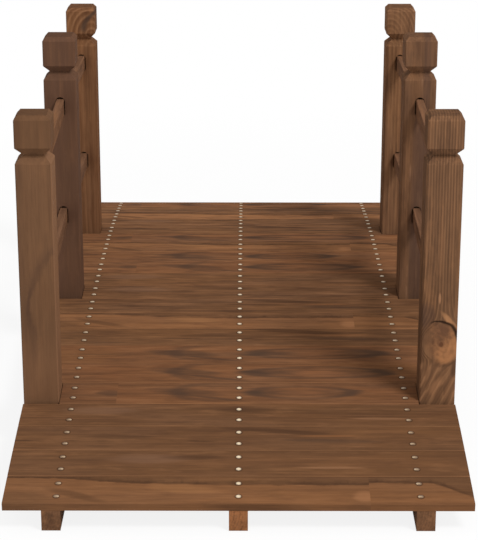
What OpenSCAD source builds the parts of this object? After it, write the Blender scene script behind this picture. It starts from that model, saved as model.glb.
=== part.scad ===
// Arched wooden garden bridge: a nailed board deck on three bowed stringers,
// with six grooved posts and two straight rails a side.
// Millimetres. X across the deck, Y along the walk, Z up from the ground.

/* [Deck] */
// Length of the deck over its end boards
bridge_len = 1500; // [1200:10:2000]
// Width of the deck over its board ends
deck_w = 670; // [560:5:900]
// Number of deck boards
board_count = 21; // [15:1:27]
// Thickness of a deck board
board_t = 12; // [9:1:20]
// Gap between neighbouring boards
board_gap = 1.5; // [1:0.5:6]
// Bevel along the upper edges of a board
board_ease = 1.2; // [0.4:0.2:3]

/* [Stringers] */
// Thickness of a stringer
stringer_t = 27; // [20:1:45]
// Height of a stringer at its square-cut ends
stringer_end_h = 31; // [20:1:60]
// Rise of a stringer's top from its ends to the crest
arch_rise = 56; // [30:1:90]
// Length of the flat foot at each end of a stringer
foot_len = 120; // [60:5:250]
// Rise of the arch under a stringer
under_rise = 30; // [10:1:60]
// Set-back of the stringer ends behind the deck's end edge
end_setback = 2; // [0.5:0.5:20]

/* [Posts] */
// Width of a square post
post_w = 55; // [45:1:70]
// Distance from a middle post to an end post, centre to centre
post_spacing = 430; // [300:5:600]
// Height of a middle post above the deck
middle_post_h = 464; // [440:1:600]
// Height of an end post above the deck
end_post_h = 452; // [440:1:600]
// Height of a post's head, from the groove to its top
head_h = 49; // [30:1:60]
// Height of the groove under the head
groove_h = 25; // [10:1:35]
// Depth of the groove on each side of a post
groove_d = 12; // [4:0.5:18]
// Width of the bevel round the top of a post
bevel_w = 6; // [2:0.5:15]
// Height of the bevel round the top of a post
bevel_h = 7; // [2:0.5:15]
// Bevel along the upright edges of a post
post_ease = 1.6; // [0.4:0.2:3]

/* [Rails] */
// Thickness of a rail across the bridge
rail_t = 12.5; // [8:0.5:24]
// Depth of a rail from top to bottom
rail_h = 28.5; // [20:0.5:50]
// Bevel along the edges of a rail
rail_ease = 0.8; // [0.4:0.2:3]
// Height of the upper rail's middle above the deck
upper_rail_h = 344; // [280:1:355]
// Height of the lower rail's middle above the deck
lower_rail_h = 150; // [80:1:240]
// Room beside a rail in its mortise
mortise_room = 1.75; // [1:0.25:4]
// Depth of the blind mortise in an end post
mortise_depth = 30; // [15:1:40]

/* [Nails] */
// Width of a nail's domed head
nail_head_d = 8; // [6:0.5:12]
// Height of a nail's head at its crown
nail_head_h = 1.2; // [0.8:0.2:2.4]
// Height of a nail's head at its rim
nail_rim_h = 0.5; // [0.2:0.1:0.7]
// Diameter of a nail's shank
nail_d = 2.8; // [2:0.2:4]
// Distance of a nail from the middle line of its board
nail_offset = 16.7; // [10:0.1:18]
// Distance of an outer nail row from the inner side of its stringer
nail_inset = 6.4; // [4:0.2:20]
// Wood left under a nail's point at the stringer ends
nail_cover = 8; // [4:0.5:12]

/* [Post screws] */
// Width of a screw's countersunk head
screw_head_d = 10; // [8:0.5:13]
// Diameter of a screw's shank
screw_d = 5; // [4:0.5:6]
// Distance between the two screws of a post
screw_spacing = 26; // [16:1:28]
// Bite of a screw in its stringer
screw_bite = 18; // [10:1:19]
// Width of the cross cut in a screw's head
cross_w = 5.2; // [3:0.2:6]
// Thickness of each arm of the cross
cross_t = 1.1; // [0.6:0.1:1.6]
// Depth of the cross
cross_d = 2; // [1:0.2:3]

/* [Fits] */
// Gap between the stringers' tops and the boards nailed on them
seat_gap = 0.2; // [0.1:0.1:0.6]
// Gap between a shortened board and the post that it stops at
post_gap = 1; // [0.5:0.5:5]
// Gap between a rail's corners and the round ends of its mortise
rail_fit = 0.3; // [0.2:0.1:0.8]
// Gap beyond the end of a rail inside its mortise
rail_end_gap = 3; // [1:0.5:10]

/* [Hidden] */
WOOD_DECK = [0.44, 0.30, 0.20];
WOOD_POST = [0.47, 0.34, 0.24];
WOOD_RAIL = [0.42, 0.29, 0.20];
WOOD_STRINGER = [0.38, 0.26, 0.17];
STEEL_NAIL = [0.86, 0.80, 0.68];
STEEL_SCREW = [0.62, 0.60, 0.56];

// Smoothness of arcs and of round steel, and how far a cut runs past the face it opens
ARC_FN = 180;
ROUND_FN = 32;
CUT = 1;

// Bowed top of the stringers: an arc through both ends and the crest
stringer_half = bridge_len / 2 - end_setback;
top_r = (stringer_half * stringer_half + arch_rise * arch_rise) / (2 * arch_rise);
top_centre_z = stringer_end_h + arch_rise - top_r;

// Arch under the stringers, between the two flat feet
under_half = stringer_half - foot_len;
under_r = (under_half * under_half + under_rise * under_rise) / (2 * under_rise);
under_centre_z = under_rise - under_r;

// Boards stand side by side round the bow, each flat across its own chord
board_r = top_r + seat_gap;
walk_r = board_r + board_t;
deck_half_angle = asin((bridge_len + board_gap) / 2 / walk_r);
board_angle = 2 * deck_half_angle / board_count;
board_w = 2 * board_r * tan(board_angle / 2) - board_gap;

// Posts stand outside the outer stringers, flush with the board ends
post_inner_x = deck_w / 2 - post_w;
post_x = deck_w / 2 - post_w / 2;
stringer_x = post_inner_x - stringer_t / 2;
short_board_len = 2 * (post_inner_x - post_gap);

// Mortise that holds a sloping rail by the corners of its eased edges
mortise_w = rail_t + 2 * mortise_room;
rail_drop = walk_z(0) - walk_z(post_spacing);
rail_slope = atan(rail_drop / post_spacing);
middle_bite = (post_w - rail_end_gap) / 2;
end_bite = mortise_depth - rail_end_gap;
slope_room = max(middle_bite, end_bite) / 2 * tan(rail_slope);
corner_reach = mortise_w / 2 - rail_fit;
side_corner_rise = sqrt(pow(corner_reach, 2) - pow(rail_t / 2, 2)) + rail_ease;
top_corner_rise = sqrt(pow(corner_reach, 2) - pow(rail_t / 2 - rail_ease, 2));
corner_rise = min(side_corner_rise, top_corner_rise);
mortise_straight = rail_h / cos(rail_slope) + 2 * (slope_room - corner_rise);

// Nails go through a board into a stringer, and their heads are caps of a sphere
nail_len = board_t + seat_gap + stringer_end_h - nail_cover;
nail_x = post_inner_x - stringer_t + nail_inset;
dome_h = nail_head_h - nail_rim_h;
dome_r = (pow(nail_head_d / 2, 2) + dome_h * dome_h) / (2 * dome_h);

// Screws go through a post into the stringer beside it, under a right-angled countersink
screw_len = post_w + screw_bite;
sink_h = (screw_head_d - screw_d) / 2;

SIDES = [["left", -1], ["right", 1]];
ENDS = [["front", -1], ["back", 1]];
STATIONS = [["front", -1], ["middle", 0], ["back", 1]];
LEVELS = [["upper", upper_rail_h], ["lower", lower_rail_h]];
STRINGERS = [["left", -1], ["centre", 0], ["right", 1]];

function board_name(i) = str("deck_board_", i < 10 ? "0" : "", i);
function stringer_name(line) = str("stringer_", line[0]);
function post_name(station, side) = str("post_", station[0], "_", side[0]);
function rail_name(level, end, side) = str("rail_", level[0], "_", end[0], "_", side[0]);
function nails_name(line) = str("nails_", line[0]);
function screws_name(side) = str("post_screws_", side[0]);

// Height of the walking surface and of the arch underneath, at a place along the bridge
function walk_z(y) = top_centre_z + sqrt(walk_r * walk_r - y * y);
function under_z(y) = max(0, under_centre_z + sqrt(under_r * under_r - y * y));
function stringer_top_z(y) = top_centre_z + sqrt(top_r * top_r - y * y);

// Turn of a board round the bow, counted from the first board, and its place along the bridge
function board_turn(i) = (i - (board_count + 1) / 2) * board_angle;
function board_y(i) = walk_r * sin(board_turn(i));

// Reach of a leaning board from its middle line, and whether it then runs into a post
function board_reach(i) = board_w / 2 + board_t * abs(sin(board_turn(i)));
function meets_post(i) =
    len([for (station = STATIONS)
        if (abs(board_y(i) - station[1] * post_spacing) < board_reach(i) + post_w / 2 + post_gap) i]) > 0;

// Right half of an outline, closed by its own mirror image
function both_halves(half) =
    concat(half, [for (k = [len(half) - 1 : -1 : 0]) [-half[k][0], half[k][1]]]);

// Height of a rail's middle line, at a distance from the middle posts
function rail_z(level, y) = walk_z(0) + level[1] - y * tan(rail_slope);

// Rectangle about its middle, with its four corners eased
module eased_rectangle(w, h, ease) {
    polygon(both_halves([
        [w / 2 - ease, -h / 2],
        [w / 2, ease - h / 2],
        [w / 2, h / 2 - ease],
        [w / 2 - ease, h / 2]
    ]));
}

// Side outline of a stringer: bowed top, square ends, flat feet and a low arch between them
module stringer_outline() {
    difference() {
        intersection() {
            translate([0, top_centre_z]) circle(r = top_r, $fn = ARC_FN);
            translate([-stringer_half, 0]) square([2 * stringer_half, stringer_end_h + arch_rise]);
        }
        translate([0, under_centre_z]) circle(r = under_r, $fn = ARC_FN);
    }
}

module stringer(line) {
    color(WOOD_STRINGER)
        difference() {
            translate([line[1] * stringer_x, 0, 0])
                rotate([90, 0, 90])
                    linear_extrude(stringer_t, center = true) stringer_outline();
            nail_row(line) nail_bore();
            if (line[1] != 0)
                for (station = STATIONS) screw_pair(station, line) screw_bore();
        }
}

// Frame of a board: X along it, Z up from its underside in the middle
module on_board(i) {
    translate([0, 0, top_centre_z])
        rotate([-board_turn(i), 0, 0])
            translate([0, 0, board_r]) children();
}

// Cross-section of a board, with both upper edges eased
module board_section() {
    polygon(both_halves([
        [board_w / 2, 0],
        [board_w / 2, board_t - board_ease],
        [board_w / 2 - board_ease, board_t]
    ]));
}

module deck_board(i) {
    board_len = meets_post(i) ? short_board_len : deck_w;
    color(WOOD_DECK)
        on_board(i)
            difference() {
                rotate([90, 0, 90]) linear_extrude(board_len, center = true) board_section();
                for (line = STRINGERS) nail_pair(line) nail_bore();
            }
}

// Places of the two nails that hold a board on one stringer, and of a stringer's whole row
module nail_pair(line) {
    for (part = [-1, 1])
        translate([line[1] * nail_x, part * nail_offset, board_t]) children();
}

module nail_row(line) {
    for (i = [1 : board_count])
        on_board(i) nail_pair(line) children();
}

// Shank of a nail under the board's top, with its point
module nail_shank(top_z) {
    polygon([[0, top_z], [nail_d / 2, top_z], [nail_d / 2, nail_d - nail_len], [0, -nail_len]]);
}

module nail_bore() {
    rotate_extrude($fn = ROUND_FN) nail_shank(CUT);
}

module nail() {
    rotate_extrude($fn = ROUND_FN) {
        nail_shank(0);
        intersection() {
            square([nail_head_d / 2, nail_head_h]);
            translate([0, nail_head_h - dome_r]) circle(r = dome_r, $fn = ARC_FN);
        }
    }
}

module nails(line) {
    color(STEEL_NAIL) nail_row(line) nail();
}

// Elevation of a post, the same on all four sides: shaft, groove, head and bevelled top
module post_outline(foot_z, top_z) {
    half = post_w / 2;
    groove_top = top_z - head_h;
    polygon(both_halves([
        [half, foot_z],
        [half, groove_top - groove_h],
        [half - groove_d, groove_top - groove_h / 2],
        [half, groove_top],
        [half, top_z - bevel_h],
        [half - bevel_w, top_z]
    ]));
}

// Square post with eased edges and that elevation both along and across the bridge
module grooved_post(foot_z, top_z) {
    intersection() {
        rotate([90, 0, 0]) linear_extrude(post_w, center = true) post_outline(foot_z, top_z);
        rotate([90, 0, 90]) linear_extrude(post_w, center = true) post_outline(foot_z, top_z);
        linear_extrude(top_z) eased_rectangle(post_w, post_w, post_ease);
    }
}

// Slot with round ends, cut along the bridge from a start to an end
module mortise(from_y, to_y) {
    translate([0, to_y, 0])
        rotate([90, 0, 0])
            linear_extrude(to_y - from_y) {
                square([mortise_w, mortise_straight], center = true);
                for (up = [-1, 1])
                    translate([0, up * mortise_straight / 2]) circle(d = mortise_w, $fn = ARC_FN);
            }
}

module post(station, side) {
    is_middle = station[1] == 0;
    y = abs(station[1]) * post_spacing;
    top_z = walk_z(y) + (is_middle ? middle_post_h : end_post_h);
    mouth = -post_w / 2;
    bite_middle = is_middle ? (post_w - middle_bite) / 2 : y + mouth + end_bite / 2;
    color(WOOD_POST)
        difference() {
            translate([side[1] * post_x, station[1] * post_spacing, 0])
                mirror([0, station[1] < 0 ? 1 : 0, 0])
                    difference() {
                        grooved_post(under_z(y), top_z);
                        for (level = LEVELS)
                            translate([0, 0, rail_z(level, bite_middle)])
                                mortise(mouth - CUT, is_middle ? -mouth + CUT : mouth + mortise_depth);
                    }
            screw_pair(station, side) screw_bore();
        }
}

// Places of a post's two screws, one over the other in its outer face, with Z pointing out of it
module screw_pair(station, side) {
    y = station[1] * post_spacing;
    middle_z = (under_z(y) + stringer_top_z(y)) / 2;
    for (part = [-1, 1])
        translate([side[1] * deck_w / 2, y, middle_z + part * screw_spacing / 2])
            rotate([0, side[1] * 90, 0]) children();
}

// Countersunk screw below the face it is flush with
module screw_outline() {
    polygon([
        [0, 0],
        [screw_head_d / 2, 0],
        [screw_d / 2, -sink_h],
        [screw_d / 2, screw_d - screw_len],
        [0, -screw_len]
    ]);
}

module screw_bore() {
    rotate_extrude($fn = ROUND_FN) {
        screw_outline();
        square([screw_head_d / 2, CUT]);
    }
}

module screw() {
    difference() {
        rotate_extrude($fn = ROUND_FN) screw_outline();
        for (turn = [0, 90])
            rotate([0, 0, turn])
                translate([-cross_w / 2, -cross_t / 2, -cross_d]) cube([cross_w, cross_t, cross_d + CUT]);
    }
}

module post_screws(side) {
    color(STEEL_SCREW)
        for (station = STATIONS) screw_pair(station, side) screw();
}

// Straight rail sloping down from a middle post to an end post
module rail(level, end, side) {
    near_y = post_w / 2 - middle_bite;
    far_y = post_spacing - post_w / 2 + end_bite;
    color(WOOD_RAIL)
        mirror([0, end[1] < 0 ? 1 : 0, 0])
            translate([side[1] * post_x, near_y, rail_z(level, near_y)])
                rotate([-90 - rail_slope, 0, 0])
                    linear_extrude((far_y - near_y) / cos(rail_slope))
                        eased_rectangle(rail_t, rail_h, rail_ease);
}

for (line = STRINGERS)
    stringer(line);
for (i = [1 : board_count])
    deck_board(i);
for (line = STRINGERS)
    nails(line);
for (side = SIDES)
    for (station = STATIONS)
        post(station, side);
for (side = SIDES)
    post_screws(side);
for (side = SIDES)
    for (end = ENDS)
        for (level = LEVELS)
            rail(level, end, side);
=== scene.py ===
import math
import random

import bmesh
import bpy
from mathutils import Matrix, Vector


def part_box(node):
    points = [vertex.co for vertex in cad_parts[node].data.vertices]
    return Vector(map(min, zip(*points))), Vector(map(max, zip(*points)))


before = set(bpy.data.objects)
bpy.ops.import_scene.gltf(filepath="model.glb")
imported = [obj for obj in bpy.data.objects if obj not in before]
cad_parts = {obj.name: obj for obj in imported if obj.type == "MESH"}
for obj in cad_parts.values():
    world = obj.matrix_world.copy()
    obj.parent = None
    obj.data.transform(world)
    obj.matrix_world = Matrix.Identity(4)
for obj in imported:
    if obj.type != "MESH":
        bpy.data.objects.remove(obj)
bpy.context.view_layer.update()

# Stringers
# Three bowed bearers of planed spruce, sawn from plank on edge and stained brown all over.
# They stand on flat feet, and every deck board is nailed down into their upper edges.


class Shade:
    """A value in a material: arithmetic on it adds Math nodes, node() adds any other."""

    def __init__(self, tree, socket=None):
        self.tree = tree
        self.socket = socket

    def node(self, kind, settings=(), sockets=(), out=0):
        made = self.tree.nodes.new(kind)
        for key, value in dict(settings).items():
            setattr(made, key, value)
        for key, value in dict(sockets).items():
            if isinstance(value, Shade):
                value.feed(made, key)
            else:
                made.inputs[key].default_value = value
        return Shade(self.tree, made.outputs[out])

    def feed(self, node, socket):
        self.tree.links.new(self.socket, node.inputs[socket])

    def also(self, out):
        """Another output of the same node."""
        return Shade(self.tree, self.socket.node.outputs[out])

    def math(self, operation, *terms):
        return self.node("ShaderNodeMath", {"operation": operation}, enumerate(terms))

    def vector_math(self, operation, *terms, out=0):
        return self.node("ShaderNodeVectorMath", {"operation": operation}, enumerate(terms), out)

    def __add__(self, other):
        return self.math("ADD", self, other)

    def __sub__(self, other):
        return self.math("SUBTRACT", self, other)

    def __rsub__(self, other):
        return self.math("SUBTRACT", other, self)

    def __mul__(self, other):
        return self.math("MULTIPLY", self, other)

    def __truediv__(self, other):
        return self.math("DIVIDE", self, other)

    def __rtruediv__(self, other):
        return self.math("DIVIDE", other, self)

    def __pow__(self, other):
        return self.math("POWER", self, other)

    def __mod__(self, other):
        return self.math("FLOORED_MODULO", self, other)

    def __abs__(self):
        return self.math("ABSOLUTE", self)

    __radd__ = __add__
    __rmul__ = __mul__

    def at_least(self, least):
        return self.math("MAXIMUM", self, least)

    def step(self, low, high):
        """Smooth step from 0 at low to 1 at high, where low may be the larger."""
        edges = {"Value": self, "From Min": min(low, high), "From Max": max(low, high)}
        rise = self.node("ShaderNodeMapRange", {"interpolation_type": "SMOOTHSTEP"}, edges)
        return 1 - rise if low > high else rise

    def mix(self, low, high):
        """Colour low where this value is 0, colour high where it is 1."""
        settings = {"data_type": "RGBA", "clamp_factor": True}
        return self.node("ShaderNodeMix", settings, {0: self, 6: low, 7: high}, out=2)

    def noise(self, stretch, seed, detail=2.0, rough=0.5):
        """Noise with this many features a metre along, across and out of the grain."""
        start = (seed, 1.7 * seed, 0.6 * seed)
        place = self.vector_math("MULTIPLY_ADD", self, stretch, start)
        sockets = {"Vector": place, "Scale": 1.0, "Detail": detail, "Roughness": rough}
        return self.node("ShaderNodeTexNoise", (), sockets)


def stain(red, green, blue):
    """Linear colour of a stained surface from its usual 0 to 255 values."""
    linear = [((c / 255 + 0.055) / 1.055) ** 2.4 for c in (red, green, blue)]
    return (*linear, 1.0)


def new_material(name):
    material = bpy.data.materials.new(name)
    material.use_nodes = True
    return material


def cover(node, material):
    """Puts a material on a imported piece."""
    piece = bpy.data.objects[node]
    piece.data.materials.clear()
    piece.data.materials.append(material)


UP = (0, 0, 1)
ACROSS_WALK = (1, 0, 0)
ALONG_WALK = (0, 1, 0)
EARLY_WOOD = stain(166, 123, 89)
LATE_WOOD = stain(74, 51, 38)
COOL_TINT = stain(116, 84, 62)
WARM_TINT = stain(130, 88, 54)
PALE_STREAK = stain(151, 106, 73)
PALE_LINE = stain(151, 108, 76)
CUT_END = stain(62, 42, 30)
# Stained wood is dry and matt: hardly any mirror light, and grain that is felt more than seen
DRY_SHEEN = 0.004
GRAIN_RELIEF = 0.2
GRAIN_DEEP = 0.0006
# How far the grain jumps along, across and out where another length is glued on
JOINT_JUMP = (0.9, 0.31, 0.12)
GRAIN_SEED = 21
LAYER_STEP = 3.7
draw = random.Random(GRAIN_SEED)


class Wood:
    """Stained softwood: yearly rings round a pith line, and then the marks that one piece shows.

    x runs along the grain, y across the face that shows most and z out of it, in metres from a centre.
    """

    def __init__(self, node, centre, along, out):
        self.node = node
        self.material = new_material(f"{node}_wood")
        self.seed = draw.uniform(0, 90)
        paint = Shade(self.material.node_tree)
        across = Vector(out).cross(Vector(along))
        turn = Matrix((along, across, out)).transposed().to_euler()
        spot = paint.node("ShaderNodeTexCoord", out="Object")
        place = {"Vector": spot, "Location": centre, "Rotation": turn}
        self.grain = paint.node("ShaderNodeMapping", {"vector_type": "TEXTURE"}, place)
        self.x = paint.node("ShaderNodeSeparateXYZ", (), {0: self.grain})
        self.y = self.x.also("Y")
        self.z = self.x.also("Z")
        self.normal = paint.node("ShaderNodeTexCoord", out="Normal")
        self.end_grain = abs(self.faces(along)).step(0.75, 0.95)

    def faces(self, direction):
        """How far the surface faces this way: 1 squarely, -1 away from it."""
        return self.normal.vector_math("DOT_PRODUCT", self.normal, direction, out="Value")

    def noise(self, stretch, layer, detail=2.0, rough=0.5):
        """Noise in the grain, where each layer has a number of its own."""
        return self.grain.noise(stretch, self.seed + LAYER_STEP * layer, detail, rough)

    def swing(self, stretch, layer, width, detail=2.0):
        """Noise about zero that swings over this width."""
        return (self.noise(stretch, layer, detail) - 0.5) * width

    def finger_joint(self, at):
        """Another length of timber is glued on beyond this place, so its grain starts afresh."""
        beyond = self.x.math("GREATER_THAN", self.x, at)
        offsets = [beyond * reach for reach in JOINT_JUMP]
        jump = beyond.node("ShaderNodeCombineXYZ", (), enumerate(offsets))
        self.grain = jump.vector_math("ADD", self.grain, jump)

    def grow(self, pale, deep, ring, depth, pith, wander=0.006, late=LATE_WOOD, spring=0.0, figure=1.0):
        """Lays down the rings, this wide and dark, round a pith at a place across and out of the grain.

        wander is how far the pith strays, late the colour of the late wood, spring how pale the early
        wood of a year is, and figure how strong the streaks are.
        """
        drift = self.swing((2.2, 8, 8), layer=1, width=2 * wander)
        ripple = self.swing((12, 60, 60), layer=2, width=0.4 * wander)
        side = self.y - pith[0] + drift
        under = self.z - pith[1] + drift * 0.6
        years = ((side * side + under * under) ** 0.5 + ripple) / ring
        growth = years % 1.0
        year = {"W": years - growth}
        weight = years.node("ShaderNodeTexWhiteNoise", {"noise_dimensions": "1D"}, year)
        self.late = growth.step(0.2, 0.85) * growth.step(1.0, 0.88) * (weight * 0.7 + 0.3)
        early = growth.step(0.0, 0.12) * growth.step(0.5, 0.2) * (weight * -0.5 + 1.0)
        tone = self.noise((1.5, 40, 40), layer=3, detail=3.0).step(0.32, 0.68)
        tint = self.noise((4, 14, 14), layer=15)
        bands = self.noise((4.5, 105, 105), layer=11)
        streaks = self.noise((19, 180, 180), layer=13, detail=3.0, rough=0.6)
        mottle = self.noise((15, 46, 46), layer=14, detail=3.0, rough=0.6)
        self.lines = self.noise((11, 330, 330), layer=4)
        self.fibre = self.noise((30, 950, 950), layer=5, detail=1.0)
        tinted = min(figure, 1.0)
        self.colour = tone.mix(pale, deep)
        self.lay(tint.step(0.5, 0.66), COOL_TINT, share=0.3 * tinted)
        self.lay(tint.step(0.48, 0.34), WARM_TINT, share=0.26 * tinted)
        self.lay(self.late, late, share=depth)
        if spring:
            self.lay(early, EARLY_WOOD, share=spring)
        for streak, dark, light in ((bands, 0.34, 0.27), (mottle, 0.34, 0.27), (streaks, 0.3, 0.23)):
            self.lay(streak.step(0.5, 0.7), late, share=dark * figure)
            self.lay(streak.step(0.46, 0.28), PALE_STREAK, share=light * figure)
        self.lay(self.lines.step(0.5, 0.75), late, share=0.26 * figure)
        self.lay(self.lines.step(0.48, 0.25), PALE_LINE, share=0.18 * figure)
        self.lay(self.fibre.step(0.5, 0.75), late, share=0.18)

    def lay(self, mask, colour, share):
        """Mixes this share of a colour in where the mask is 1."""
        self.colour = (mask * share).mix(self.colour, colour)

    def patch(self, colour, share, x, y, half_long, half_wide, lean=0.0, ragged=0.9, within=1.0):
        """Lays a soft pointed patch along the grain, leaning across it, within a mask."""
        along = self.x - x
        across = (self.y - y - along * lean) / half_wide
        along = along / half_long
        torn = self.swing((12, 130, 130), layer=6, width=ragged, detail=3.0)
        mask = (along * along + across * across + torn).step(1.0, 0.1)
        self.lay(mask * within, colour, share)

    def vein(self, path, half_wide, ragged=0.0):
        """1 on a line along the grain that follows a path across it."""
        torn = self.swing((70, 160, 0), layer=17, width=ragged, detail=3.0)
        return (abs(self.y - path) / half_wide + torn).step(1.0, 0.15)

    def dress(self, end_dark=0.3):
        """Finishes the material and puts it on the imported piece."""
        shader = self.material.node_tree.nodes["Principled BSDF"]
        self.lay(self.end_grain, CUT_END, share=end_dark)
        self.colour.feed(shader, "Base Color")
        roughness = self.fibre * 0.14 + self.late * 0.08 + 0.62
        roughness.feed(shader, "Roughness")
        height = self.fibre * 0.5 + self.lines * 0.3 + self.late * 0.4
        bump = {"Strength": GRAIN_RELIEF, "Distance": GRAIN_DEEP, "Height": height}
        height.node("ShaderNodeBump", (), bump).feed(shader, "Normal")
        shader.inputs["Specular IOR Level"].default_value = DRY_SHEEN
        cover(self.node, self.material)


def middle_of(node):
    low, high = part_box(node)
    return (Vector(low) + Vector(high)) / 2


STRINGER_TONES = {
    "left": (stain(116, 82, 58), stain(106, 75, 53)),
    "centre": (stain(164, 107, 68), stain(148, 97, 62)),
    "right": (stain(124, 86, 59), stain(112, 78, 54)),
}
for line, (pale, deep) in STRINGER_TONES.items():
    node = f"stringer_{line}"
    wood = Wood(node, middle_of(node), ALONG_WALK, UP)
    wood.grow(pale, deep, ring=0.004, depth=0.3, pith=(0.06, -0.01), wander=0.004)
    wood.dress(end_dark=0.08)

# Deck boards
# Twenty-one thin planed boards of stained spruce, nailed across the bow, in four cuts: orange
# heartwood (A), plain (B), dark-veined (C) and flamed (D). Those at the posts are cut short to fit.

BOARD_ORDER = "ABCBDDDCACBBDDADCBACD"
BOARD_TONES = {
    "A": (stain(140, 95, 62), stain(128, 87, 57)),
    "B": (stain(113, 78, 53), stain(105, 73, 49)),
    "C": (stain(114, 79, 53), stain(104, 72, 49)),
    "D": (stain(127, 84, 55), stain(114, 77, 52)),
}
# Width, darkness and wander of the yearly rings
BOARD_RINGS = {
    "A": (0.013, 0.10, 0.016),
    "B": (0.005, 0.14, 0.006),
    "C": (0.008, 0.18, 0.008),
    "D": (0.009, 0.12, 0.012),
}
# Strength of the streaks: the boards at the front end are worn smoother
FRONT_FIGURE = 0.62
BACK_FIGURE = 1.75
# Painted sheen: the boards are made lighter towards the back end, standing in for mirror light that the
# matt wood does not reflect
FRONT_TONE = 0.9
BACK_PAINTED_SHEEN = 0.48
# Places of the finger joints along orange and flamed boards
ORANGE_JOINT = 0.2
FLAMED_JOINT = -0.21
# Painted shade in the dimple round each nail; the nails stand this far from the middle line of a board
NAIL_PAIR = 0.0167
DIMPLE_SHADE_OUTER = 0.0072
DIMPLE_SHADE_INNER = 0.0035
TOWARDS_FRONT = (0, -1, 0)
VEIN = stain(62, 43, 32)
FLAME = stain(70, 54, 44)
BROWN_SMEAR = stain(84, 58, 40)
CLEAR_ORANGE = stain(158, 110, 70)
CLEAR_BLOCK = stain(166, 116, 80)
BRIGHT_STREAK = stain(152, 110, 80)
GREYED = stain(128, 95, 74)
WARM_STREAK = stain(148, 98, 62)
EYE_HEART = stain(146, 96, 62)
# Painted shadow that the right railing throws on the walk
RAILING_SHADOW_PAINT = stain(66, 42, 26)
NAIL_DIMPLE_SHADE = stain(50, 33, 23)
BARE_EDGE = stain(176, 126, 88)
FACES_UP = 0.9


def upper_face(node):
    """Centre and normal of a piece's flat top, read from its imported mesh."""
    total = 0.0
    centre = Vector()
    normal = Vector()
    for face in bpy.data.objects[node].data.polygons:
        if face.normal.z > FACES_UP:
            total += face.area
            centre += face.area * face.center
            normal += face.area * face.normal
    return centre / total, normal.normalized()


def tones_scaled(tones, share):
    return [tuple(share * c for c in tone) for tone in tones]


def vein_path(wood, sway, before_joint):
    """Across an orange board, where its dark hairy vein runs: up at the left, off the edge at the right."""
    left_rise = wood.x.step(-0.05, -0.33) * 0.019
    right_drop = wood.x.step(0.27, 0.36) * 0.05
    wobble = wood.swing((40, 0, 0), layer=19, width=0.005, detail=3.0)
    return left_rise + sway * 0.012 + 0.0205 - before_joint * 0.006 - right_drop + wobble


def mark_orange(wood, path, ebb, joint, before_joint):
    """The vein with its fringe of hairs, a brown smear, and clear wood up to the finger joint."""
    over = wood.y - path
    halo = wood.vein(path + 0.002, half_wide=0.0075, ragged=1.3)
    wood.lay(halo * ebb.step(0.25, 0.6), VEIN, share=0.34)
    line = wood.vein(path, half_wide=0.0042, ragged=1.6)
    wood.lay(line * ebb.step(0.3, 0.55), VEIN, share=0.5)
    fringe = over.step(0.0, 0.002) * over.step(0.016, 0.002) * ebb.step(0.3, 0.5)
    hairs = wood.noise((120, 24, 0), layer=9).step(0.5, 0.72)
    wood.lay(fringe * hairs, VEIN, share=0.32)
    wood.patch(BROWN_SMEAR, 0.55, x=-0.235, y=-0.0125, half_long=0.055, half_wide=0.011, lean=-0.4)
    wood.patch(CLEAR_ORANGE, 0.3, x=-0.08, y=0.004, half_long=0.06, half_wide=0.016, lean=-0.1)
    wood.patch(
        CLEAR_BLOCK, 0.42, x=joint - 0.008, y=-0.016, half_long=0.02, half_wide=0.018, ragged=0.3,
        within=before_joint)


def mark_plain(wood):
    """One bright streak, and a greyed and a dark patch beside it."""
    bright_x = draw.uniform(0.1, 0.24)
    wood.patch(BRIGHT_STREAK, 0.45, x=bright_x, y=-0.012, half_long=0.06, half_wide=0.004)
    wood.patch(GREYED, 0.35, x=-bright_x, y=0.012, half_long=0.07, half_wide=0.016)
    wood.patch(VEIN, 0.35, x=bright_x - 0.2, y=0.016, half_long=0.06, half_wide=0.008)


def mark_veined(wood, sway, ebb, slide):
    """A broken dark line over the left half, and dark wood with a warm streak in it on the right."""
    dashes = ebb.step(0.44, 0.58) * wood.x.step(0.12, 0.02)
    line = wood.vein(sway * 0.008 - 0.0084, half_wide=0.0036, ragged=1.1)
    wood.lay(line * dashes, VEIN, share=0.62)
    wood.patch(VEIN, 0.55, x=slide + 0.08, y=0.021, half_long=0.11, half_wide=0.009, lean=-0.12)
    wood.patch(FLAME, 0.45, x=slide + 0.16, y=-0.008, half_long=0.09, half_wide=0.008, lean=-0.04)
    wood.patch(WARM_STREAK, 0.4, x=slide + 0.15, y=0.007, half_long=0.06, half_wide=0.004)
    dark_x = draw.uniform(-0.2, 0.2)
    wood.patch(VEIN, 0.4, x=dark_x, y=0.004, half_long=0.07, half_wide=0.008)


def eye(wood, x, y, half_long, half_wide):
    """1 on the thin outline of a long eye in the grain, darkest at its ends."""
    along = (wood.x - x) / half_long
    across = (wood.y - y) / half_wide
    torn = wood.swing((9, 130, 0), layer=6, width=0.5, detail=3.0)
    reach = (along * along + across * across) ** 0.5 + torn
    return abs(reach - 1).step(0.3, 0.04) * (abs(along) * 0.6 + 0.4)


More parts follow.
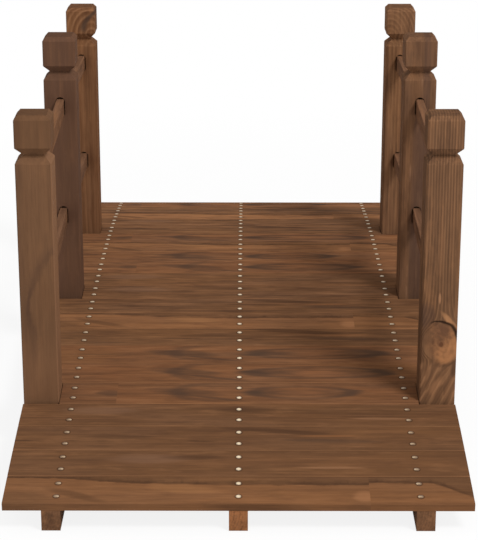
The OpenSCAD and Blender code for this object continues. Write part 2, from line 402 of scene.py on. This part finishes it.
def mark_flamed(wood, slide, joint, jointed, before_joint):
    """A whole eye right of the middle with dark ends, and half an eye with a flame left of it."""
    half_long = draw.uniform(0.072, 0.11)
    middle_x = 0.02 + half_long
    far_x = 2 * half_long - 0.02
    wood.lay(eye(wood, middle_x, y=0.002, half_long=half_long, half_wide=0.019), FLAME, share=0.72)
    wood.patch(FLAME, 0.56, x=0.055, y=0.002, half_long=0.062, half_wide=0.010)
    wood.patch(FLAME, 0.36, x=far_x, y=0.002, half_long=0.08, half_wide=0.014, lean=0.05)
    wood.patch(EYE_HEART, 0.3, x=middle_x, y=0.001, half_long=0.6 * half_long, half_wide=0.008)
    left_x = slide - 0.045
    left_half = (wood.x - left_x).step(0.036, -0.0216)
    left_eye = eye(wood, left_x, y=0.004, half_long=0.072, half_wide=0.03)
    wood.lay(left_eye * left_half, FLAME, share=0.5)
    wood.patch(
        FLAME, 0.52, x=slide - 0.105, y=0.003, half_long=0.072, half_wide=0.016, lean=-0.14, ragged=1.2)
    wood.patch(FLAME, 0.5, x=slide - 0.05, y=-0.019, half_long=0.056, half_wide=0.005, lean=-0.22)
    if jointed:
        wood.patch(
            FLAME, 0.5, x=joint - 0.012, y=0.0, half_long=0.026, half_wide=0.012, ragged=1.4,
            within=before_joint)


nail_rows = [middle_of(f"nails_{row}").x for row in ("left", "centre", "right")]
for number, cut in enumerate(BOARD_ORDER):
    node = f"deck_board_{number + 1:02d}"
    centre, up = upper_face(node)
    wood = Wood(node, centre, ACROSS_WALK, up)
    slide = draw.uniform(-0.022, 0.022)
    joint = slide + (ORANGE_JOINT if cut == "A" else FLAMED_JOINT)
    jointed = cut == "A" or (cut == "D" and BOARD_ORDER[number - 1] != "D")
    before_joint = wood.x.math("LESS_THAN", wood.x, joint)
    sway = wood.swing((5.0, 0, 0), layer=7, width=1.0)
    ebb = wood.noise((11.0, 40, 0), layer=8)
    to_back = number / len(BOARD_ORDER)
    # Painted sheen, growing towards the back end
    sheen_lift = FRONT_TONE + BACK_PAINTED_SHEEN * to_back ** 2
    figure = FRONT_FIGURE + (BACK_FIGURE - FRONT_FIGURE) * to_back
    pale, deep = tones_scaled(BOARD_TONES[cut], sheen_lift)
    if jointed:
        wood.finger_joint(joint)
    if cut == "A":
        # One side of the vein is clear orange wood, the other brown like the plain boards
        path = vein_path(wood, sway, before_joint)
        brown_end = wood.x.step(-0.25, -0.3) * wood.y.step(0.004, -0.012)
        brown = (wood.y - path).step(-0.004, 0.005).at_least(brown_end * 0.7)
        plain_pale, plain_deep = tones_scaled(BOARD_TONES["B"], sheen_lift)
        pale = brown.mix(pale, plain_pale)
        deep = brown.mix(deep, plain_deep)
    ring, depth, wander = BOARD_RINGS[cut]
    pith_y = wood.x * draw.uniform(-0.03, 0.03) + draw.uniform(-0.03, 0.03)
    pith_z = wood.x * draw.uniform(-0.02, 0.02) - draw.uniform(0.02, 0.06)
    wood.grow(pale, deep, ring, depth, (pith_y, pith_z), wander, figure=figure)
    if cut == "A":
        mark_orange(wood, path, ebb, joint, before_joint)
    elif cut == "B":
        mark_plain(wood)
    elif cut == "C":
        mark_veined(wood, sway, ebb, slide)
    else:
        mark_flamed(wood, slide, joint, jointed, before_joint)
    # Painted shadow of the right railing, darkening the right half of every board but the flamed ones
    if cut != "D":
        wood.lay(wood.x.step(0.0, 0.22), RAILING_SHADOW_PAINT, share=0.12)
    # Painted shade: a dark ring in the dimple round each nail head
    across = abs(abs(wood.y) - NAIL_PAIR)
    for row_x in nail_rows:
        along = wood.x - row_x
        dimple_shade = ((along * along + across * across) ** 0.5).step(DIMPLE_SHADE_OUTER, DIMPLE_SHADE_INNER)
        wood.lay(dimple_shade, NAIL_DIMPLE_SHADE, share=0.7)
    front_edge = wood.faces(TOWARDS_FRONT).step(0.6, 0.9)
    if number == 0:
        dark_middle = (abs(wood.x - 0.03) / 0.11).step(1.0, 0.2)
        wood.lay(front_edge, VEIN, share=0.16)
        wood.lay(front_edge * dark_middle, VEIN, share=0.45)
    else:
        wood.lay(front_edge, BARE_EDGE, share=0.28)
    wood.dress()

# Nails
# Three rows of pale plated nails, two to a board in each row, driven through the boards into
# the stringers. Their broad heads are slightly domed and stand just proud of the wood.

WALK_RADIUS = 5.035
# Lean of a domed head's surface at its rim, as the sine of the angle
NAIL_RIM_LEAN = 0.339
NAIL_NEAR_GLINT = stain(192, 166, 134)
NAIL_PAINTED_GLINT = stain(226, 206, 174)
NAIL_PAINTED_SHADE = stain(106, 80, 58)
NAIL_TARNISH = stain(186, 158, 120)
NAIL_METALLIC = 0.2
# Side of a head given the painted highlight: in the outer rows a band towards the middle, joined farther
# back by the domed top, which alone is lit in the centre row. Tarnish spots lie in the highlight, and the
# rest of a head is painted shade.
GLINT_SIDES = {"left": 1, "centre": 0, "right": -1}
for row, glint_side in GLINT_SIDES.items():
    plating = new_material(f"nails_{row}_plating")
    shader = plating.node_tree.nodes["Principled BSDF"]
    spot = Shade(plating.node_tree).node("ShaderNodeTexCoord", out="Object")
    along_walk = spot.node("ShaderNodeSeparateXYZ", (), {0: spot}).also("Y")
    lean = spot.node("ShaderNodeSeparateXYZ", (), {0: spot.also("Normal")})
    lean_x = lean / NAIL_RIM_LEAN
    lean_y = (lean.also("Y") - along_walk / WALK_RADIUS) / NAIL_RIM_LEAN
    tarnish = spot.noise((160, 160, 160), seed=4.0, detail=3.0)
    # Painted highlight on the domed top of a head, giving way to painted shade at its rim
    top_glint = ((lean_x * lean_x + lean_y * lean_y) ** 0.5).step(0.92, 0.45)
    glint = top_glint
    glint_colour = NAIL_PAINTED_GLINT
    # Painted highlight in the outer rows: near the front only a band on the side towards the middle
    if glint_side:
        far = along_walk.step(-0.65, 0.25)
        band = abs(lean_y + 0.1).step(0.6, 0.15) * (lean_x * glint_side).step(-0.9, 0.1)
        glint = (band * 0.85).at_least(top_glint * far * 0.9)
        glint_colour = far.mix(NAIL_NEAR_GLINT, NAIL_PAINTED_GLINT)
    spotted = (tarnish.step(0.4, 0.85) * 0.5).mix(glint_colour, NAIL_TARNISH)
    glint.mix(NAIL_PAINTED_SHADE, spotted).feed(shader, "Base Color")
    (tarnish * 0.3 + 0.35).feed(shader, "Roughness")
    shader.inputs["Metallic"].default_value = NAIL_METALLIC
    cover(f"nails_{row}", plating)

# Posts
# Six square spruce posts, screwed to the outer stringers' sides. Each has a bevelled head over
# a groove cut round all four sides, and mortises with round ends for the rails.

POST_HALF = 0.0275
GROOVE_Z = 0.471
POST_TONES = {
    "front_left": (stain(112, 81, 58), stain(108, 78, 56)),
    "front_right": (stain(111, 80, 57), stain(102, 73, 52)),
    "middle_left": (stain(96, 69, 54), stain(92, 66, 51)),
    "middle_right": (stain(117, 84, 61), stain(107, 78, 58)),
    "back_left": (stain(124, 85, 57), stain(107, 74, 51)),
    "back_right": (stain(126, 91, 65), stain(102, 72, 51)),
}


class Post(Wood):
    """A post's wood: x runs up, y to the left on the front and z out of the front."""

    def __init__(self, place):
        node = f"post_{place}"
        centre = middle_of(node)
        super().__init__(node, centre, UP, TOWARDS_FRONT)
        self.pale, self.deep = POST_TONES[place]
        self.middle_z = centre.z
        self.height = self.x + self.middle_z

    def head(self, blend):
        """1 in the head, from this far over the groove's lower edge."""
        return self.height.step(GROOVE_Z, GROOVE_Z + blend)

    def swerve(self, from_z, slope):
        """How far the pith line leans out of the post above a level."""
        return (self.height - from_z).at_least(0.0) * slope


# Front left: plain, with one soft dark vein that comes in from the inner side and runs down the face
VEIN_TURN_Z = 0.225
VEIN_Y = 0.0153
VEIN_BOW = 4.0
VEIN_RETURN = 0.0072
SOFT_VEIN = stain(84, 62, 49)
VEIN_CORE = stain(74, 54, 44)
HEAD_STAIN = stain(84, 59, 41)
PAINTED_LIGHT_SIDE = stain(150, 110, 82)
PAINTED_LIGHT_FOOT = stain(150, 108, 78)
wood = Post("front_left")
wood.grow(wood.pale, wood.deep, ring=0.011, depth=0.06, pith=(0.05, -0.05), wander=0.010, figure=0.4)
above = wood.height - VEIN_TURN_Z
risen = above.at_least(0.0)
path = VEIN_Y - risen * risen * VEIN_BOW - above.step(-0.008, -0.038) * VEIN_RETURN
path = path + wood.swing((9, 0, 0), layer=9, width=0.004)
length = above.step(0.125, 0.09) * above.step(-0.1, -0.06)
front = wood.faces(TOWARDS_FRONT).step(0.4, 0.8)
lit_inner_side = wood.faces(ACROSS_WALK).step(0.4, 0.8)
wood.lay(wood.vein(path + 0.003, half_wide=0.014, ragged=0.8) * length * front, SOFT_VEIN, share=0.2)
sharp = above.step(0.06, 0.02) * above.step(-0.03, 0.0)
core = wood.vein(path, half_wide=0.009 - sharp * 0.0045, ragged=1.5)
wood.lay(core * length * front, VEIN_CORE, share=sharp * 0.3 + 0.24)
wood.lay(wood.y.step(0.012, 0.025) * front, SOFT_VEIN, share=0.26)
in_head = wood.head(blend=0.01)
wood.lay(in_head, HEAD_STAIN, share=wood.y.step(0.008, 0.022) * 0.16 + 0.3)
# Painted light: the inner side below the head is made paler, as if lit more from the right
wood.lay(lit_inner_side * (1 - in_head), PAINTED_LIGHT_SIDE, share=0.34)
# Painted light: the lower front is made paler, making up for the light that the deck keeps off the foot
wood.lay(above.step(-0.02, -0.09) * front, PAINTED_LIGHT_FOOT, share=0.2)
wood.dress()

# Front right: close straight grain parted by one large knot low on the front
KNOT_Z = 0.1751
KNOT_X = 0.0030
KNOT_LONG = 0.0357
KNOT_WIDE = 0.0287
KNOT_LEAN = 0.25
# Below the knot the grain slants away in broad bands
SLANT_BELOW = 0.026
SLANT = 0.45
BAND_WIDE = 0.015
CLOSE_LATE = stain(76, 54, 41)
PALE_BELOW_AND_PAINTED_LIGHT = stain(138, 98, 69)
BAND_DARK = stain(72, 51, 39)
BAND_PALE = stain(166, 121, 86)
OVER_KNOT = stain(76, 57, 48)
KNOT_DARK = stain(100, 69, 51)
KNOT_SUNNY = stain(170, 117, 77)
KNOT_RING = stain(86, 56, 38)
KNOT_RIM = stain(42, 29, 22)
KNOT_LOW_RIM = stain(66, 46, 35)
KNOT_PITH = stain(82, 50, 34)
SAPWOOD = stain(176, 126, 86)
SAP_TIP = stain(170, 124, 90)
SAP_BELOW = stain(160, 114, 80)
DARK_BELOW = stain(68, 49, 38)
wood = Post("front_right")
skin = wood.z.step(0.010, 0.0265)
up = wood.height - KNOT_Z
off = wood.y + KNOT_X


def patch_by_knot(colour, share, over, **size):
    """Patch on the face of the post, this far over the knot's middle."""
    wood.patch(colour, share, x=KNOT_Z + over - wood.middle_z, within=skin, **size)


from_knot = up * up + off * off
parted = off * (KNOT_WIDE ** 2) / from_knot.at_least(KNOT_WIDE ** 2)
below = -SLANT_BELOW - up
slanting = below.at_least(0.0) * SLANT
straight = wood.y.step(-0.024, -0.010) * 0.55 + 0.45
wood.grow(
    wood.pale, wood.deep, ring=0.0043, depth=straight * 0.58, pith=((parted + slanting) * skin + 0.22, 0.0),
    wander=0.003, late=CLOSE_LATE, spring=straight * 0.26)
wash = wood.noise((14, 40, 40), layer=16).step(0.35, 0.65)
band = (off + up * 0.5 + wash * 0.006) / BAND_WIDE % 1.0
low_part = below.step(0.002, 0.016) * skin
# Paler wood below the knot, laid on strongly enough to also be painted light that makes up for the light
# the deck keeps off the foot
wood.lay(low_part, PALE_BELOW_AND_PAINTED_LIGHT, share=0.4)
wood.lay(low_part * band.step(0.0, 0.3) * band.step(0.75, 0.45), BAND_DARK, share=wash * 0.3 + 0.12)
wood.lay(low_part * band.step(0.6, 0.8) * band.step(1.0, 0.9), BAND_PALE, share=0.45 - wash * 0.35)
patch_by_knot(OVER_KNOT, 0.5, over=0.046, y=0.0203, half_long=0.026, half_wide=0.015)
uneven = wood.swing((36, 36, 36), layer=10, width=0.5, detail=3.0)
leaning = (up - off * KNOT_LEAN) / KNOT_LONG
# 1 on the knot's outline, and out of reach deeper in the post
reach = (leaning * leaning + (off / KNOT_WIDE) ** 2) ** 0.5 + uneven + (1 - skin) * 2.0
mottle = wood.noise((66, 66, 66), layer=12, detail=4.0, rough=0.55)
sunny = ((mottle - 0.5) * 1.5 - (up + off) * 8.0).step(-0.3, 0.4)
heart = sunny.mix(KNOT_DARK, KNOT_SUNNY)
wood.lay(reach.step(1.08, 0.7), heart, share=off.step(0.024, 0.002) * 0.5 + 0.3)
wood.lay(reach.step(1.0, 0.3) * (reach * 4.5 % 1.0).step(0.3, 0.9), KNOT_RING, share=0.2)
patch_by_knot(
    SAPWOOD, 0.68, over=0.036, y=-0.0150, half_long=0.019, half_wide=0.0075, lean=0.75, ragged=0.7)
patch_by_knot(SAP_TIP, 0.6, over=0.073, y=0.001, half_long=0.011, half_wide=0.0026)
patch_by_knot(SAP_BELOW, 0.45, over=-0.07, y=0.003, half_long=0.018, half_wide=0.008, lean=-0.5)
patch_by_knot(DARK_BELOW, 0.5, over=-0.044, y=-0.026, half_long=0.016, half_wide=0.009)
upper = (up - off * 0.4).step(-0.002, 0.010)
rim_half = off.step(0.010, -0.022) * 0.11 + 0.06
rim = (abs(reach - 1.0) / rim_half).step(1.0, 0.2)
wood.lay(rim * upper * off.step(0.022, 0.008), KNOT_RIM, share=0.92)
low_rim = abs(reach - 1.02).step(0.14, 0.02) * (1 - upper) * off.step(0.012, -0.012)
wood.lay(low_rim, KNOT_LOW_RIM, share=0.35)
patch_by_knot(KNOT_PITH, 0.6, over=-0.002, y=-0.0035, half_long=0.0052, half_wide=0.004, ragged=0.8)
wood.dress()

# Middle left: plain and the darkest of the six
wood = Post("middle_left")
wood.grow(wood.pale, wood.deep, ring=0.012, depth=0.05, pith=(0.05, -0.05), wander=0.010, figure=0.3)
wood.dress()

# Middle right: paler on its inner side, with a grey-brown strip of heartwood down the middle
STRIP_GREY = stain(76, 57, 49)
STRIP_EDGE = stain(146, 108, 82)
STRIP_OUTER_Y = -0.019
STRIP_TOP_Y = -0.003
# Between these levels the strip widens towards the inner side by so much
WIDENS_FROM_Z = 0.48
WIDENS_TO_Z = 0.40
STRIP_WIDENS = 0.0165
wood = Post("middle_right")
wood.grow(wood.pale, wood.deep, ring=0.012, depth=0.2, pith=(-0.02, -0.05), wander=0.008)
edge = wood.y + wood.swing((6, 0, 0), layer=9, width=0.006)
inner_edge = wood.height.step(WIDENS_FROM_Z, WIDENS_TO_Z) * STRIP_WIDENS + STRIP_TOP_Y
strip = (edge - inner_edge).step(0.0, -0.006) * edge.step(STRIP_OUTER_Y, STRIP_OUTER_Y + 0.005)
wood.lay(strip, STRIP_GREY, share=0.52)
broken = wood.noise((22, 0, 0), layer=18).step(0.5, 0.65)
wood.lay(abs(edge - inner_edge).step(0.0025, 0.0) * broken, STRIP_EDGE, share=0.5)
wood.dress()

# Back left: arched rings and a grey smear in the head, reddish bands down the shaft
RED_LATE = stain(78, 48, 31)
HEAD_SMEAR = stain(66, 52, 44)
SMEAR_Z = 0.49
SMEAR_HIGH = 0.03
wood = Post("back_left")
in_head = wood.head(blend=0.012)
arch = wood.swerve(from_z=0.48, slope=0.75)
wood.grow(
    wood.pale, wood.deep, ring=0.0092, depth=in_head * 0.18 + 0.38, pith=(-0.021, arch + POST_HALF),
    wander=0.003, late=RED_LATE, spring=in_head * 0.2 + 0.1, figure=0.7)
rise = (wood.height - SMEAR_Z) / SMEAR_HIGH
smear = wood.vein(-0.005 - rise * abs(rise) * 0.017, half_wide=0.009)
wood.lay(smear * rise.step(-0.3, 0.2), HEAD_SMEAR, share=0.75)
wood.dress()

# Back right: slanting rings in the head, pale and dark bands down the shaft
PALE_HEAD = stain(174, 126, 90)
wood = Post("back_right")
in_head = wood.head(blend=0.012)
arch = wood.swerve(from_z=0.472, slope=0.7)
wood.grow(
    wood.pale, wood.deep, ring=0.0068, depth=in_head * 0.22 + 0.3, pith=(0.021, arch + POST_HALF),
    wander=0.006, spring=0.2)
wood.lay(in_head, PALE_HEAD, share=0.07)
wood.dress()

# Post screws
# Two countersunk screws hold each post, driven flush from its outer face into the stringer.
# They are of plated steel, a little tarnished.

SCREW_BRIGHT = stain(190, 184, 172)
SCREW_TARNISH = stain(150, 140, 122)
SCREW_METALLIC = 0.9
plated_steel = new_material("plated_screws")
shader = plated_steel.node_tree.nodes["Principled BSDF"]
spot = Shade(plated_steel.node_tree).node("ShaderNodeTexCoord", out="Object")
tarnish = spot.noise((300, 300, 300), seed=9.0, detail=3.0)
tarnish.step(0.35, 0.75).mix(SCREW_BRIGHT, SCREW_TARNISH).feed(shader, "Base Color")
(tarnish * 0.3 + 0.25).feed(shader, "Roughness")
shader.inputs["Metallic"].default_value = SCREW_METALLIC
for side in ("left", "right"):
    cover(f"post_screws_{side}", plated_steel)

# Rails
# Eight straight flat rails of spruce, an upper and a lower one in each bay. Their ends sit loose in
# the posts' mortises, so a dark gap shows over and beside each end.

RAIL_PALE = stain(122, 88, 66)
RAIL_DEEP = stain(108, 77, 57)
for node in [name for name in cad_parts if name.startswith("rail_")]:
    centre, up = upper_face(node)
    wood = Wood(node, centre, Vector(ACROSS_WALK).cross(up), up)
    wood.grow(RAIL_PALE, RAIL_DEEP, ring=0.005, depth=0.2, pith=(0.02, -0.05), wander=0.004)
    wood.dress()

# Studio
# A white floor and white surroundings that keep only the bridge's soft shadow, one lamp from the
# front right, and even light from all round.

FLOOR_HALF = 14.0
FLOOR_DROP = 0.0004
FLOOR_PAINT = (0.9, 0.9, 0.9, 1)
# Share of plain white on the floor near the bridge, and how far off it is white altogether
FLOOR_GLOW = 0.86
WHITE_FROM = 0.9
WHITE_BEYOND = 1.9
# Strength of the even light from all round
AROUND = 0.66
WHITE = (1, 1, 1, 1)


def looked_at(tree):
    """1 for rays that show the surroundings themselves: seen, mirrored or through glass."""
    seen = Shade(tree).node("ShaderNodeLightPath", out="Is Camera Ray")
    return seen.at_least(seen.also("Is Glossy Ray").at_least(seen.also("Is Transmission Ray")))


floor_mesh = bmesh.new()
bmesh.ops.create_grid(floor_mesh, x_segments=1, y_segments=1, size=FLOOR_HALF)
floor_data = bpy.data.meshes.new("floor")
floor_mesh.to_mesh(floor_data)
floor_mesh.free()
floor = bpy.data.objects.new("floor", floor_data)
floor.location.z = -FLOOR_DROP
bpy.context.scene.collection.objects.link(floor)
floor_paint = new_material("white_floor")
floor_tree = floor_paint.node_tree
floor_tree.nodes.remove(floor_tree.nodes["Principled BSDF"])
ground = Shade(floor_tree)
matt = ground.node("ShaderNodeBsdfDiffuse", (), {"Color": FLOOR_PAINT})
glow = ground.node("ShaderNodeEmission", (), {"Color": WHITE, "Strength": 1.0})
spot = ground.node("ShaderNodeTexCoord", out="Object")
away = spot.vector_math("LENGTH", spot, out="Value").step(WHITE_FROM, WHITE_BEYOND)
white = looked_at(floor_tree) * (away * (1 - FLOOR_GLOW) + FLOOR_GLOW)
both = ground.node("ShaderNodeMixShader", (), {0: white, 1: matt, 2: glow})
both.feed(floor_tree.nodes["Material Output"], "Surface")
floor.data.materials.append(floor_paint)

world = bpy.data.worlds.new("studio")
world.use_nodes = True
bpy.context.scene.world = world
sky = world.node_tree.nodes["Background"]
sky.inputs["Color"].default_value = WHITE
(looked_at(world.node_tree) * (1 - AROUND) + AROUND).feed(sky, "Strength")

KEY_PLACE = Vector((3.01, -3.46, 5.48))
KEY_AIM = Vector((0.0, 0.0, 0.2))
KEY_WIDE = 1.95
KEY_WATTS = 304
key_data = bpy.data.lights.new("key", "AREA")
key_data.shape = "DISK"
key_data.size = KEY_WIDE
key_data.energy = KEY_WATTS
key = bpy.data.objects.new("key", key_data)
key.location = KEY_PLACE
key.rotation_euler = (KEY_AIM - KEY_PLACE).to_track_quat("-Z", "Y").to_euler()
bpy.context.scene.collection.objects.link(key)
bpy.context.scene.view_settings.view_transform = "Standard"

# Camera
# Eye level of someone standing a little way off the front end, looking down the walk.
# The lens is long, so the bridge fills the upright picture.

EYE = Vector((0.0093, -3.1572, 1.2006))
PITCH_DOWN = 0.3241
YAW = 0.0035
FOCAL_PX = 1875.0
FRAME_HIGH_PX = 540
camera_data = bpy.data.cameras.new("camera")
camera_data.sensor_width = 36.0
camera_data.lens = camera_data.sensor_width * FOCAL_PX / FRAME_HIGH_PX
camera = bpy.data.objects.new("camera", camera_data)
camera.location = EYE
camera.rotation_euler = (math.pi / 2 - PITCH_DOWN, 0.0, YAW)
bpy.context.scene.collection.objects.link(camera)
bpy.context.scene.camera = camera
